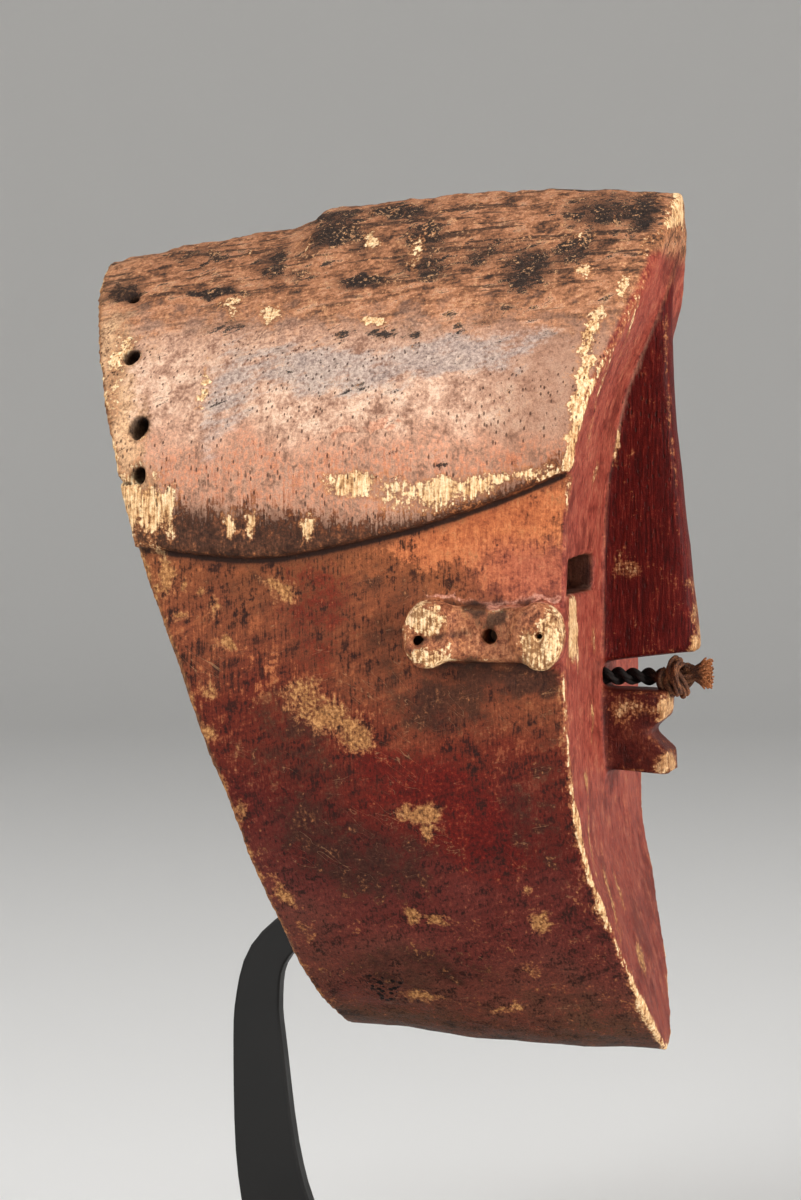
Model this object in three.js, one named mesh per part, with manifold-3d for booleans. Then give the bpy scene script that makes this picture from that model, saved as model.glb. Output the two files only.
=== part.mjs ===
// A lwalwa face mask of painted wood, hung on a steel stand.
// Millimetres, +Z up. The origin is the centre of the foot's underside and the face looks along -Y.
// The mask is drawn in its own axes: x across, y towards the back of the head, z up from the chin.
import * as THREE from 'three';
import { mergeVertices } from 'three/addons/utils/BufferGeometryUtils.js';
import Module from 'manifold-3d';

// The mask's overall sizes
const CROWN_HEIGHT = 307;
const HALF_WIDTH = 83;
const TEMPLE_HEIGHT = 212;
const BROW_FLANK = 249;
const CROWN_BLUNTNESS = 27;
const CROWN_SLOPE_FALL = 6;
const CHEEK_HEIGHT = 150;
const CHIN_FLANK = 68;
const CHIN_BLUNTNESS = 22;
const SIDE_WALL = 9;
const FACE_WALL = 11;
const FRONT_REACH = 44;
const BACK_REACH = 200;
// How much faster than the sides the floor, the flanks and the blunt ends follow the wall inwards
const FLOOR_SHARE = 1.25;
const FLANK_SHARE = 0.6;
const BLUNT_SHARE = 0.5;

// How the shell changes from the face to the back of the head
const SIDE_SWELL = 0.04;
const SWELL_BACK = 60;
const BACK_NARROWING = 0.12;
const CROWN_DROP = 22;
const CROWN_PEAK = 5;
const CROWN_RUN = 180;
const CROWN_POWER = 1.5;
const FLOOR_SLOPE = 0.05;

// The face in profile, from chin to crown: forward of the eye plane, height
const FACE_PROFILE = [
  [23.8, -20], [23.8, 2], [19.6, 20], [14.5, 40], [8.7, 60], [4.2, 80], [1.5, 105], [0, 136],
  [0, 182], [1.6, 206], [7.4, 235], [12.9, 250], [21.5, 272], [25.2, 288], [27.6, 301], [29, 330],
];
// The rim at the back in profile, from chin to crown: behind the eye plane, height
const RIM_PROFILE = [
  [86, -20], [95, 6], [103, 24], [112, 57], [126, 105], [140, 147], [153, 183], [163.5, 222],
  [172, 245], [179, 264], [185.5, 284], [190, 320],
];
// The cap's lower edge, from the back to the face: behind the eye plane, height
const CAP_LINE = [[200, 188], [150, 183.7], [110, 180.5], [75, 186], [39, 195.5], [4, 209], [-44, 232]];
const CAP_PROUD = 3;
const CREST_HEIGHT = 4.2;
const CREST_HALF_WIDTH = 38;
const CREST_BACK = 104;
const CREST_STEP = 12;
const CREST_FADE = 0.65;
const CREST_FADE_RUN = [30, 130];

// The nose blade: forward of the eye plane, height
const NOSE_RIDGE = [
  [28.8, 302], [27.4, 291], [25, 278], [24.2, 262], [25.3, 235], [27.8, 210], [30.6, 185], [35, 150],
];
const NOSE_TIP = [[34.6, 145], [14, 142.4], [-4, 140]];
const NOSE_ROOT = [[-4, 220], [18, 295]];
const NOSE_HALF_WIDTH = 8;
const NOSE_ROUNDING = 2.5;

// The two lips, one block with a notch: forward of the eye plane, height
const LIPS = [
  [-4, 131.2], [24.4, 130.4], [24, 121.2], [17.4, 116], [25.2, 108.6], [25.9, 100.2], [5, 102], [-4, 101],
];
const LIPS_HALF_WIDTH = 12;
const LIPS_ROUNDING = 1.2;

// The eye slits, cut through the face
const EYE_INNER = 20;
const EYE_OUTER = 76;
const EYE_TOP = 180.5;
const EYE_BOTTOM = 168;

// The ear lugs: two bosses and the web between them, at the eye plane and behind it
const EAR_HEIGHT = 155;
const EAR_FACE = 97;
const EAR_ROOT = 80;
const FRONT_BOSS = { back: 7.6, radiusY: 8.7, radiusZ: 11.7 };
const REAR_BOSS = { back: 45.6, radiusY: 9, radiusZ: 11.9 };
const EAR_WEB_DROP = 4;
const EAR_WEB_HALF_HEIGHT = 9.5;
const EAR_ROUNDING = 1.5;
const BOSS_HOLES = [{ back: 7, height: 155, radius: 1.7 }, { back: 49.4, height: 152.8, radius: 2 }];
const BOSS_HOLE_DEPTH = 9;
const WEB_HOLE = { back: 24.4, height: 154.8, radius: 2.8 };

// The lacing holes beside the rim on each side, slanting forwards from the outside to the hollow
const RIM_HOLES = [
  { across: 41, back: 171.5, height: 279.4, radius: 2.2, tilt: 0.75, tallness: 1 },
  { across: 66, back: 166, height: 255.6, radius: 2.9, tilt: 0.5, tallness: 1.15 },
  { across: 77, back: 154, height: 225.2, radius: 2.9, tilt: 0.12, tallness: 1.55 },
  { across: 80, back: 151.6, height: 208.6, radius: 2.7, tilt: 0, tallness: 1.25 },
];
const RIM_HOLE_SLANT = 0.47;
const RIM_HOLE_DEPTH = 50;

// The bite cord under the nose, from the knot inside the mask to the knot in front of the lips
const CORD_DIAMETER = 6.5;
const CORD_HEIGHT = 135.2;
const CORD_HOLE_RADIUS = 3.9;
const CORD_SIDES = 10;
const CORD_STEPS = 3;
const KNOT_SIDES = 14;
const CORD_GAP = 0.3;
const INNER_KNOT = [{ back: 20, height: 134.6, radii: [7.8, 6, 7] }];
const OUTER_KNOT = [
  { back: -24.6, height: 137, radii: [7, 5.6, 5.2] },
  { back: -29.8, height: 132.4, radii: [6.6, 4.7, 6.8] },
];
const CORD_TAIL = {
  back: -35.2, height: 135.6, length: 12, rootRadius: 3.4, endRadius: 5.6, flatness: 0.75,
};

// The stand
const CHIN_ABOVE_TABLE = 110;
const FOOT_CENTRE_BACK = 75;
const FOOT_LENGTH = 170;
const FOOT_WIDTH = 124;
const FOOT_THICKNESS = 12;
const FOOT_CORNER = 8;
const FOOT_EDGE = 1;
const CORNER_STEPS = 5;
const BLADE_THICKNESS = 8;
const BLADE_EDGE = 0.8;
// The blade's centre line from the foot to the crown: behind the eye plane, height, width there
const BLADE_LINE = [
  [107, -108, 36], [120.5, -72, 27], [126.5, -45, 23.4], [129.4, -7, 19.4], [129.8, 12, 16.8],
  [126, 29, 14.5], [113, 42, 13], [96, 51, 13], [82, 68, 13], [76, 98, 13], [76, 150, 12.5],
  [78, 210, 12], [74, 262, 11], [70, 288, 10],
];
const BLADE_STEPS = 44;
const SADDLE_HALF_WIDTH = 16;
const SADDLE_LENGTH = 16;
const SADDLE_THICKNESS = 5;
const REST_GAP = 0.35;

const CURVE_STEPS = 14;
const SHELL_STEPS = 20;
const HOLLOW_STEPS = 12;
const FACE_STEPS = 40;
const INNER_FACE_STEPS = 24;
const RIM_STEPS = 26;
const CAP_LINE_STEPS = 20;
const RIDGE_STEPS = 14;
const BOSS_STEPS = 10;
const HOLE_SIDES = 10;
const CLEARANCE = 30;

const wasm = await Module();
wasm.setup();

// A closed geometry as a solid that can be joined and cut
function solidOf(geometry) {
  geometry.deleteAttribute('normal');
  geometry.deleteAttribute('uv');
  const merged = mergeVertices(geometry, 1e-4);
  return new wasm.Manifold(new wasm.Mesh({
    numProp: 3,
    vertProperties: new Float32Array(merged.attributes.position.array),
    triVerts: new Uint32Array(merged.index.array),
  }));
}

function geometryOf(solid) {
  const mesh = solid.getMesh();
  const geometry = new THREE.BufferGeometry();
  geometry.setAttribute('position', new THREE.BufferAttribute(Float32Array.from(mesh.vertProperties), 3));
  geometry.setIndex(new THREE.BufferAttribute(Uint32Array.from(mesh.triVerts), 1));
  geometry.computeVertexNormals();
  return geometry;
}

// Extrudes a shape drawn in y and z across the mask, as far to the left as to the right
function acrossX(shape, halfSpan, rounding = 0) {
  const geometry = new THREE.ExtrudeGeometry(shape, {
    depth: 2 * (halfSpan - rounding),
    curveSegments: CURVE_STEPS,
    bevelEnabled: rounding > 0,
    bevelThickness: rounding,
    bevelSize: rounding,
    bevelOffset: -rounding,
    bevelSegments: 2,
  });
  geometry.translate(0, 0, rounding - halfSpan);
  const toYZ = new THREE.Matrix4().makeBasis(
    new THREE.Vector3(0, 1, 0), new THREE.Vector3(0, 0, 1), new THREE.Vector3(1, 0, 0));
  return geometry.applyMatrix4(toYZ);
}

// Extrudes a shape drawn in x and z from back to front
function alongY(shape, front, back, steps) {
  const geometry = new THREE.ExtrudeGeometry(shape, {
    depth: back - front, steps, curveSegments: CURVE_STEPS, bevelEnabled: false,
  });
  const toXZ = new THREE.Matrix4().makeBasis(
    new THREE.Vector3(1, 0, 0), new THREE.Vector3(0, 0, 1), new THREE.Vector3(0, -1, 0));
  return geometry.applyMatrix4(toXZ).translate(0, back, 0);
}

const forwardToY = ([forward, height]) => new THREE.Vector2(-forward, height);
const backToY = ([back, height]) => new THREE.Vector2(back, height);

// The crown's height above the chin at a distance y behind the eye plane
function crownHeight(y) {
  return CROWN_HEIGHT - CROWN_DROP * Math.pow(Math.abs(y - CROWN_PEAK) / CROWN_RUN, CROWN_POWER);
}

// The low crest along the crown, which ends in a worn step
function crestRise(x, y) {
  const across = Math.max(0, 1 - (x / CREST_HALF_WIDTH) ** 2);
  const behind = 1 - THREE.MathUtils.smoothstep(y, CREST_BACK, CREST_BACK + CREST_STEP);
  const ahead = 1 - CREST_FADE * THREE.MathUtils.smoothstep(CREST_BACK - y, ...CREST_FADE_RUN);
  return CREST_HEIGHT * across * behind * ahead;
}

// Gives an extruded shell the swell of its sides, the fall of its crown and the rise of its floor
function warpShell(geometry, crest = false) {
  const place = geometry.attributes.position;
  for (let i = 0; i < place.count; i += 1) {
    const x = place.getX(i);
    const y = place.getY(i);
    const z = place.getZ(i);
    const width = 1 + SIDE_SWELL * THREE.MathUtils.smoothstep(y, 0, SWELL_BACK)
      - BACK_NARROWING * THREE.MathUtils.smoothstep(y, SWELL_BACK, BACK_REACH);
    const upper = Math.max(0, (z - CHEEK_HEIGHT) / (CROWN_HEIGHT - CHEEK_HEIGHT));
    const lower = Math.max(0, (CHEEK_HEIGHT - z) / CHEEK_HEIGHT);
    const rise = upper * (crownHeight(y) - CROWN_HEIGHT) + lower * FLOOR_SLOPE * y;
    const crestPart = crest && z > TEMPLE_HEIGHT ? crestRise(x, y) : 0;
    place.setXYZ(i, x * width, y, z + rise + crestPart);
  }
  return geometry;
}

// The mask's outline seen from the front, moved inwards by inset
function frontOutline(inset) {
  const width = HALF_WIDTH - inset;
  const chin = inset * FLOOR_SHARE;
  const bluntness = CHIN_BLUNTNESS - inset * BLUNT_SHARE;
  const flank = CHIN_FLANK + inset * FLANK_SHARE;
  const top = CROWN_HEIGHT - inset;
  const crown = CROWN_BLUNTNESS - inset * BLUNT_SHARE;
  const outline = new THREE.Shape();
  outline.moveTo(0, chin);
  outline.bezierCurveTo(bluntness, chin, width, flank, width, CHEEK_HEIGHT);
  outline.lineTo(width, TEMPLE_HEIGHT);
  outline.bezierCurveTo(width, BROW_FLANK, crown, top - CROWN_SLOPE_FALL, 0, top);
  outline.bezierCurveTo(-crown, top - CROWN_SLOPE_FALL, -width, BROW_FLANK, -width, TEMPLE_HEIGHT);
  outline.lineTo(-width, CHEEK_HEIGHT);
  outline.bezierCurveTo(-width, flank, -bluntness, chin, 0, chin);
  return outline;
}

// What lies between the curved face and the slanting rim, in profile
function sideProfile() {
  const profile = new THREE.Shape();
  const face = new THREE.SplineCurve(FACE_PROFILE.map(forwardToY)).getPoints(FACE_STEPS);
  const rim = new THREE.SplineCurve(RIM_PROFILE.map(backToY)).getPoints(RIM_STEPS);
  return profile.setFromPoints([...rim, ...face.reverse()]);
}

// What lies behind the inner side of the face wall, in profile, open to the back
function hollowProfile() {
  const innerFace = new THREE.SplineCurve(
    FACE_PROFILE.map(([forward, height]) => new THREE.Vector2(FACE_WALL - forward, height)),
  ).getPoints(INNER_FACE_STEPS);
  const behind = BACK_REACH + CLEARANCE;
  const low = innerFace[0].y;
  const high = innerFace[innerFace.length - 1].y;
  return new THREE.Shape().setFromPoints(
    [...innerFace.reverse(), new THREE.Vector2(behind, low), new THREE.Vector2(behind, high)]);
}

// What lies above the cap line, in profile
function capProfile() {
  const line = new THREE.SplineCurve(CAP_LINE.map(backToY)).getPoints(CAP_LINE_STEPS);
  const high = CROWN_HEIGHT + CLEARANCE;
  return new THREE.Shape().setFromPoints(
    [...line.reverse(), new THREE.Vector2(BACK_REACH, high), new THREE.Vector2(-FRONT_REACH, high)]);
}

function shell() {
  const profile = solidOf(acrossX(sideProfile(), HALF_WIDTH + CLEARANCE));
  const face = solidOf(warpShell(alongY(frontOutline(0), -FRONT_REACH, BACK_REACH, SHELL_STEPS)));
  const proud = alongY(frontOutline(-CAP_PROUD), -FRONT_REACH, BACK_REACH, SHELL_STEPS);
  const cap = solidOf(warpShell(proud, true))
    .intersect(solidOf(acrossX(capProfile(), HALF_WIDTH + CLEARANCE)));
  return face.add(cap).intersect(profile);
}

function hollow() {
  const inside = alongY(frontOutline(SIDE_WALL), -FRONT_REACH, BACK_REACH + CLEARANCE, HOLLOW_STEPS);
  return solidOf(warpShell(inside))
    .intersect(solidOf(acrossX(hollowProfile(), HALF_WIDTH + CLEARANCE)));
}

function nose() {
  const ridge = new THREE.SplineCurve(NOSE_RIDGE.map(forwardToY)).getPoints(RIDGE_STEPS);
  const rest = [...NOSE_TIP, ...NOSE_ROOT].map(forwardToY);
  return solidOf(acrossX(new THREE.Shape([...ridge, ...rest]), NOSE_HALF_WIDTH, NOSE_ROUNDING));
}

function lips() {
  return solidOf(acrossX(new THREE.Shape(LIPS.map(forwardToY)), LIPS_HALF_WIDTH, LIPS_ROUNDING));
}

// One ear on the side that side names, -1 or 1
function ear(side) {
  const boss = ({ back, radiusY, radiusZ }) => {
    const outline = new THREE.Shape().absellipse(back, EAR_HEIGHT, radiusY, radiusZ, 0, Math.PI * 2, false);
    return fromRoot(outline, EAR_FACE, side);
  };
  const web = new THREE.Shape();
  web.moveTo(FRONT_BOSS.back, EAR_HEIGHT - EAR_WEB_HALF_HEIGHT);
  web.lineTo(REAR_BOSS.back, EAR_HEIGHT - EAR_WEB_HALF_HEIGHT);
  web.lineTo(REAR_BOSS.back, EAR_HEIGHT + EAR_WEB_HALF_HEIGHT);
  web.lineTo(FRONT_BOSS.back, EAR_HEIGHT + EAR_WEB_HALF_HEIGHT);
  return boss(FRONT_BOSS).add(boss(REAR_BOSS)).add(fromRoot(web, EAR_FACE - EAR_WEB_DROP, side));
}

// Extrudes a shape drawn in y and z from inside the side wall out to a flat end
function fromRoot(shape, outerX, side) {
  const geometry = new THREE.ExtrudeGeometry(shape, {
    depth: outerX - EAR_ROOT - EAR_ROUNDING,
    curveSegments: BOSS_STEPS,
    bevelThickness: EAR_ROUNDING,
    bevelSize: EAR_ROUNDING,
    bevelOffset: -EAR_ROUNDING,
    bevelSegments: 1,
  });
  geometry.applyMatrix4(new THREE.Matrix4().makeBasis(
    new THREE.Vector3(0, 1, 0), new THREE.Vector3(0, 0, 1), new THREE.Vector3(1, 0, 0)));
  geometry.translate(EAR_ROOT, 0, 0);
  return side > 0 ? solidOf(geometry) : solidOf(geometry).mirror([1, 0, 0]);
}

// A drill along x through y = back, z = height, from one x to another
function drillX({ back, height, radius }, from, to) {
  const bit = new THREE.CylinderGeometry(radius, radius, Math.abs(to - from), HOLE_SIDES);
  bit.rotateZ(Math.PI / 2).translate((from + to) / 2, back, height);
  return solidOf(bit);
}

// A lacing hole through the shell beside the rim
function rimHole({ across, back, height, radius, tilt, tallness }, side) {
  const bit = new THREE.CylinderGeometry(radius, radius, RIM_HOLE_DEPTH, HOLE_SIDES);
  bit.rotateZ(Math.PI / 2).scale(1, 1, tallness).rotateY(-side * tilt).rotateZ(side * RIM_HOLE_SLANT);
  return solidOf(bit.translate(side * across, back, height));
}

function eyeSlit(side) {
  const slit = new THREE.BoxGeometry(EYE_OUTER - EYE_INNER, 4 * FACE_WALL, EYE_TOP - EYE_BOTTOM);
  slit.translate(side * (EYE_OUTER + EYE_INNER) / 2, 0, (EYE_TOP + EYE_BOTTOM) / 2);
  return solidOf(slit);
}

function cordHole() {
  const bit = new THREE.CylinderGeometry(CORD_HOLE_RADIUS, CORD_HOLE_RADIUS, 3 * FACE_WALL, HOLE_SIDES);
  return solidOf(bit.translate(0, 0, CORD_HEIGHT));
}

function carveMask() {
  let mask = shell().add(nose()).add(lips()).add(ear(-1)).add(ear(1));
  mask = mask.subtract(hollow()).subtract(cordHole());
  for (const side of [-1, 1]) {
    mask = mask.subtract(eyeSlit(side));
    mask = mask.subtract(drillX(WEB_HOLE, side * EAR_FACE, side * (EAR_ROOT - 2 * SIDE_WALL)));
    for (const hole of BOSS_HOLES) {
      mask = mask.subtract(drillX(hole, side * (EAR_FACE + 1), side * (EAR_FACE - BOSS_HOLE_DEPTH)));
    }
    for (const hole of RIM_HOLES) {
      mask = mask.subtract(rimHole(hole, side));
    }
  }
  return mask;
}

// A knot as squashed balls that run into each other
function knot(balls) {
  const solids = balls.map(({ back, height, radii }) => {
    const ball = new THREE.SphereGeometry(1, KNOT_SIDES, KNOT_SIDES - 4);
    return solidOf(ball.scale(...radii).translate(0, back, height));
  });
  return solids.reduce((joined, ball) => joined.add(ball));
}

// The cord between its two knots
function cordTube() {
  const inner = INNER_KNOT[0].back - INNER_KNOT[0].radii[1] - CORD_GAP;
  const outer = OUTER_KNOT[0].back + OUTER_KNOT[0].radii[1] + CORD_GAP;
  const ends = [inner, outer].map((y) => new THREE.Vector3(0, y, CORD_HEIGHT));
  const route = new THREE.LineCurve3(...ends);
  const section = new THREE.Shape().absarc(0, 0, CORD_DIAMETER / 2, 0, Math.PI * 2, false);
  return new THREE.ExtrudeGeometry(section, {
    steps: CORD_STEPS, curveSegments: CORD_SIDES / 2, extrudePath: route, bevelEnabled: false,
  });
}

// The frayed tail that leaves the outer knot
function cordTail() {
  const { back, height, length, rootRadius, endRadius, flatness } = CORD_TAIL;
  const tail = new THREE.CylinderGeometry(rootRadius, endRadius, length, CORD_SIDES);
  return solidOf(tail.rotateX(Math.PI / 2).scale(flatness, 1, 1).translate(0, back, height));
}

// The blade's side view: its centre line, with half its width to each side
function bladeOutline() {
  const line = new THREE.SplineCurve(BLADE_LINE.map(backToY));
  const widths = new THREE.SplineCurve(BLADE_LINE.map(([, , width], i) => new THREE.Vector2(i, width / 2)));
  const left = [];
  const right = [];
  for (let i = 0; i <= BLADE_STEPS; i += 1) {
    const t = i / BLADE_STEPS;
    const at = line.getPoint(t);
    const along = line.getTangent(t);
    const half = widths.getPoint(t).y;
    left.push(new THREE.Vector2(at.x - along.y * half, at.y + along.x * half));
    right.push(new THREE.Vector2(at.x + along.y * half, at.y - along.x * half));
  }
  return new THREE.Shape([...left, ...right.reverse()]);
}

// The saddle under the crown, a short bar bent to the inside of the roof
function saddle() {
  const back = BLADE_LINE[BLADE_LINE.length - 1][0];
  const layer = (inset) => solidOf(
    warpShell(alongY(frontOutline(inset), back - SADDLE_LENGTH / 2, back + SADDLE_LENGTH / 2, 1)));
  const upper = SIDE_WALL + REST_GAP;
  const middle = new THREE.BoxGeometry(2 * SADDLE_HALF_WIDTH, 2 * SADDLE_LENGTH, CROWN_HEIGHT);
  return layer(upper).subtract(layer(upper + SADDLE_THICKNESS))
    .intersect(solidOf(middle.translate(0, back, CROWN_HEIGHT)));
}

function standArm() {
  const blade = solidOf(acrossX(bladeOutline(), BLADE_THICKNESS / 2, BLADE_EDGE)).add(saddle());
  const footTop = FOOT_THICKNESS + REST_GAP - CHIN_ABOVE_TABLE;
  const below = new THREE.BoxGeometry(FOOT_WIDTH, 2 * FOOT_LENGTH, FOOT_LENGTH);
  return blade.subtract(solidOf(below.translate(0, FOOT_CENTRE_BACK, footTop - FOOT_LENGTH / 2)));
}

function standFoot() {
  const plate = new THREE.Shape();
  const x = FOOT_WIDTH / 2;
  const y = FOOT_LENGTH / 2;
  plate.moveTo(FOOT_CORNER - x, -y);
  plate.absarc(x - FOOT_CORNER, FOOT_CORNER - y, FOOT_CORNER, -Math.PI / 2, 0, false);
  plate.absarc(x - FOOT_CORNER, y - FOOT_CORNER, FOOT_CORNER, 0, Math.PI / 2, false);
  plate.absarc(FOOT_CORNER - x, y - FOOT_CORNER, FOOT_CORNER, Math.PI / 2, Math.PI, false);
  plate.absarc(FOOT_CORNER - x, FOOT_CORNER - y, FOOT_CORNER, Math.PI, Math.PI * 1.5, false);
  const geometry = new THREE.ExtrudeGeometry(plate, {
    depth: FOOT_THICKNESS - 2 * FOOT_EDGE,
    curveSegments: CORNER_STEPS,
    bevelThickness: FOOT_EDGE,
    bevelSize: FOOT_EDGE,
    bevelOffset: -FOOT_EDGE,
    bevelSegments: 1,
  });
  return geometry.translate(0, 0, FOOT_EDGE);
}

const paintedWood = new THREE.MeshStandardMaterial({ color: 0x7a3a2a, roughness: 0.62, metalness: 0 });
const cordFibre = new THREE.MeshStandardMaterial({ color: 0x2a1a12, roughness: 0.9, metalness: 0 });
const blackSteel = new THREE.MeshStandardMaterial({ color: 0x2c2928, roughness: 0.5, metalness: 0.6 });

function named(name, geometry, material) {
  const mesh = new THREE.Mesh(geometry, material);
  mesh.name = name;
  return mesh;
}

// Everything drawn in the mask's own axes stands together over the foot
const raised = new THREE.Group();
raised.position.set(0, -FOOT_CENTRE_BACK, CHIN_ABOVE_TABLE);
raised.add(named('mask', geometryOf(carveMask()), paintedWood));
raised.add(named('bite_cord', cordTube(), cordFibre));
raised.add(named('bite_cord_outer_knot', geometryOf(knot(OUTER_KNOT).add(cordTail())), cordFibre));
raised.add(named('bite_cord_inner_knot', geometryOf(knot(INNER_KNOT)), cordFibre));
raised.add(named('stand_arm', geometryOf(standArm()), blackSteel));

const group = new THREE.Group();
group.add(raised);
group.add(named('stand_foot', standFoot(), blackSteel));

export default group;
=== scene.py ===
import math

import bmesh
import bpy
import numpy as np
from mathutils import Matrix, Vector, kdtree, noise


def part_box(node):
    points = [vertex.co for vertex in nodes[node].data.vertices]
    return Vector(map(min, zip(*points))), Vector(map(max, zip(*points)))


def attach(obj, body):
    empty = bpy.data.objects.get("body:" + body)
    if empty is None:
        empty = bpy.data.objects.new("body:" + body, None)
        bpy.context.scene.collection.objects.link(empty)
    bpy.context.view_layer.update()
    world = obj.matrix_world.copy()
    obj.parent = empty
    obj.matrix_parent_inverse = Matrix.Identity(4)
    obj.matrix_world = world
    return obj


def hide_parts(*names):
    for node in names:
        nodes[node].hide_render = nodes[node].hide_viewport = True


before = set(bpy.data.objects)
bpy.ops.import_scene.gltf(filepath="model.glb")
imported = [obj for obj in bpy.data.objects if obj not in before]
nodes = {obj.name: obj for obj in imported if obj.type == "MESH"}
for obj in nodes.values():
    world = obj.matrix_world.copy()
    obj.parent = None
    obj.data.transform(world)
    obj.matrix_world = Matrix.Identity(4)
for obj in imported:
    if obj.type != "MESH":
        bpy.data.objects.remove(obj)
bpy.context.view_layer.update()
mm = 0.001
print("frame loaded:", ", ".join(sorted(nodes)))

# The mask's own axes, in mm: x across, y behind the eyes, z above the chin
eyePlane = -75
chinHeight = 110


def toFrame(x, y, z):
    return Vector((x, y + eyePlane, z + chinHeight)) * mm


# Camera and lights

cameraView = {
    "lookAt": (0, 75.9, 161.9), "distance": 1350, "turn": 12.47, "rise": 3, "lens": 110.1, "sensor": 36,
}
studio = {
    "lamps": {
        "key": {"from": (-2415, 1218, 1166), "size": 1200, "watts": 40, "colour": (1, 0.97, 0.94)},
        "overhead": {"from": (-620, 330, 1150), "size": 420, "watts": 4, "colour": (0.93, 0.96, 1)},
        "front": {"from": (-1050, -2708, 640), "size": 1000, "watts": 88, "colour": (1, 0.96, 0.92)},
        "room": {"from": (0, 0, 2300), "size": 2600, "watts": 27, "colour": (1, 1, 1)},
    },
    "world": (0.62, 0.63, 0.65),
    "worldStrength": 0.12,
    "flatRadius": 2.6,
    "sweepRadius": 2.2,
    "sweepSteps": 16,
    "floorRoughness": 0.9,
    "wallHeight": 4.4,
    "roundSteps": 96,
    "backdrop": (0.78, 0.78, 0.77),
}


def makeCamera():
    data = bpy.data.cameras.new("camera")
    data.lens = cameraView["lens"]
    data.sensor_width = cameraView["sensor"]
    turn, rise = math.radians(cameraView["turn"]), math.radians(cameraView["rise"])
    towards = Vector((math.cos(turn) * math.cos(rise), math.sin(turn) * math.cos(rise), -math.sin(rise)))
    camera = bpy.data.objects.new("camera", data)
    camera.location = toFrame(*cameraView["lookAt"]) - towards * cameraView["distance"] * mm
    camera.rotation_euler = towards.to_track_quat("-Z", "Y").to_euler()
    bpy.context.scene.collection.objects.link(camera)
    bpy.context.scene.camera = camera


def makeLight(name, spec):
    data = bpy.data.lights.new(name, "AREA")
    data.size = spec["size"] * mm
    data.energy = spec["watts"]
    data.color = spec["colour"]
    lamp = bpy.data.objects.new(name, data)
    lamp.location = toFrame(*spec["from"])
    aim = toFrame(*cameraView["lookAt"]) - lamp.location
    lamp.rotation_euler = aim.to_track_quat("-Z", "Y").to_euler()
    bpy.context.scene.collection.objects.link(lamp)


makeCamera()
for lampName, lamp in studio["lamps"].items():
    makeLight(lampName, lamp)
world = bpy.data.worlds.new("studio")
world.use_nodes = True
world.node_tree.nodes["Background"].inputs["Color"].default_value = (*studio["world"], 1)
world.node_tree.nodes["Background"].inputs["Strength"].default_value = studio["worldStrength"]
bpy.context.scene.world = world
bpy.context.scene.view_settings.view_transform = "Standard"
print("camera and lights ready")


# Mesh helpers

def newPiece(name, mesh):
    piece = bpy.data.objects.new(name, mesh)
    bpy.context.scene.collection.objects.link(piece)
    mesh.shade_smooth()
    return piece


def mergedCopy(node, name):
    mesh = nodes[node].data.copy()
    mesh.materials.clear()
    bm = bmesh.new()
    bm.from_mesh(mesh)
    bmesh.ops.remove_doubles(bm, verts=bm.verts, dist=1e-6)
    bm.to_mesh(mesh)
    bm.free()
    return newPiece(name, mesh)


def applied(piece, kind, **settings):
    modifier = piece.modifiers.new(kind, kind)
    for key, value in settings.items():
        setattr(modifier, key, value)
    mesh = bpy.data.meshes.new_from_object(piece.evaluated_get(bpy.context.evaluated_depsgraph_get()))
    piece.modifiers.clear()
    piece.data = mesh
    return mesh


def pointsOf(mesh):
    flat = np.empty(len(mesh.vertices) * 3, np.float32)
    mesh.vertices.foreach_get("co", flat)
    points = flat.reshape(-1, 3).astype(float) / mm
    return points - (0, eyePlane, chinHeight)


def setPoints(mesh, points):
    flat = (points + (0, eyePlane, chinHeight)) * mm
    mesh.vertices.foreach_set("co", flat.astype(np.float32).ravel())
    mesh.update()


def normalsOf(mesh):
    flat = np.empty(len(mesh.vertices) * 3, np.float32)
    mesh.vertex_normals.foreach_get("vector", flat)
    return flat.reshape(-1, 3).astype(float)


def edgesOf(mesh):
    flat = np.empty(len(mesh.edges) * 2, np.int32)
    mesh.edges.foreach_get("vertices", flat)
    return flat.reshape(-1, 2)


def soften(points, edges, share, rounds):
    total = len(points)
    count = np.bincount(edges.ravel(), minlength=total)[:, None]
    share = np.broadcast_to(share, total)[:, None] * 0.5
    a, b = edges.T
    for _ in range(rounds):
        sums = [np.bincount(a, points[b, k], total) + np.bincount(b, points[a, k], total) for k in range(3)]
        points = points + share * (np.stack(sums, 1) / count - points)
    return points


def ease(low, high, value):
    t = np.clip((value - low) / (high - low), 0, 1)
    return t * t * (3 - 2 * t)


def roughness(points, size, octaves=3, shift=0):
    # A wavy field of about -1 to 1, with waves of the given size in mm
    spots = points / np.array(size) + shift
    return np.array([noise.fractal(Vector(p), 1, 2, octaves) for p in spots])


def curveThrough(stops, steps=16):
    # The same curve through the stops as the solids are drawn with
    p = np.array([stops[0], *stops, stops[-1]], float)
    line = []
    for a, b, c, d in zip(p, p[1:], p[2:], p[3:]):
        for t in np.linspace(0, 1, steps, endpoint=False):
            v, w = (c - a) / 2, (d - b) / 2
            line.append((2 * b - 2 * c + v + w) * t**3 + (3 * c - 3 * b - 2 * v - w) * t**2 + v * t + b)
    return np.array([*line, p[-1]])


# Materials

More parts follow.
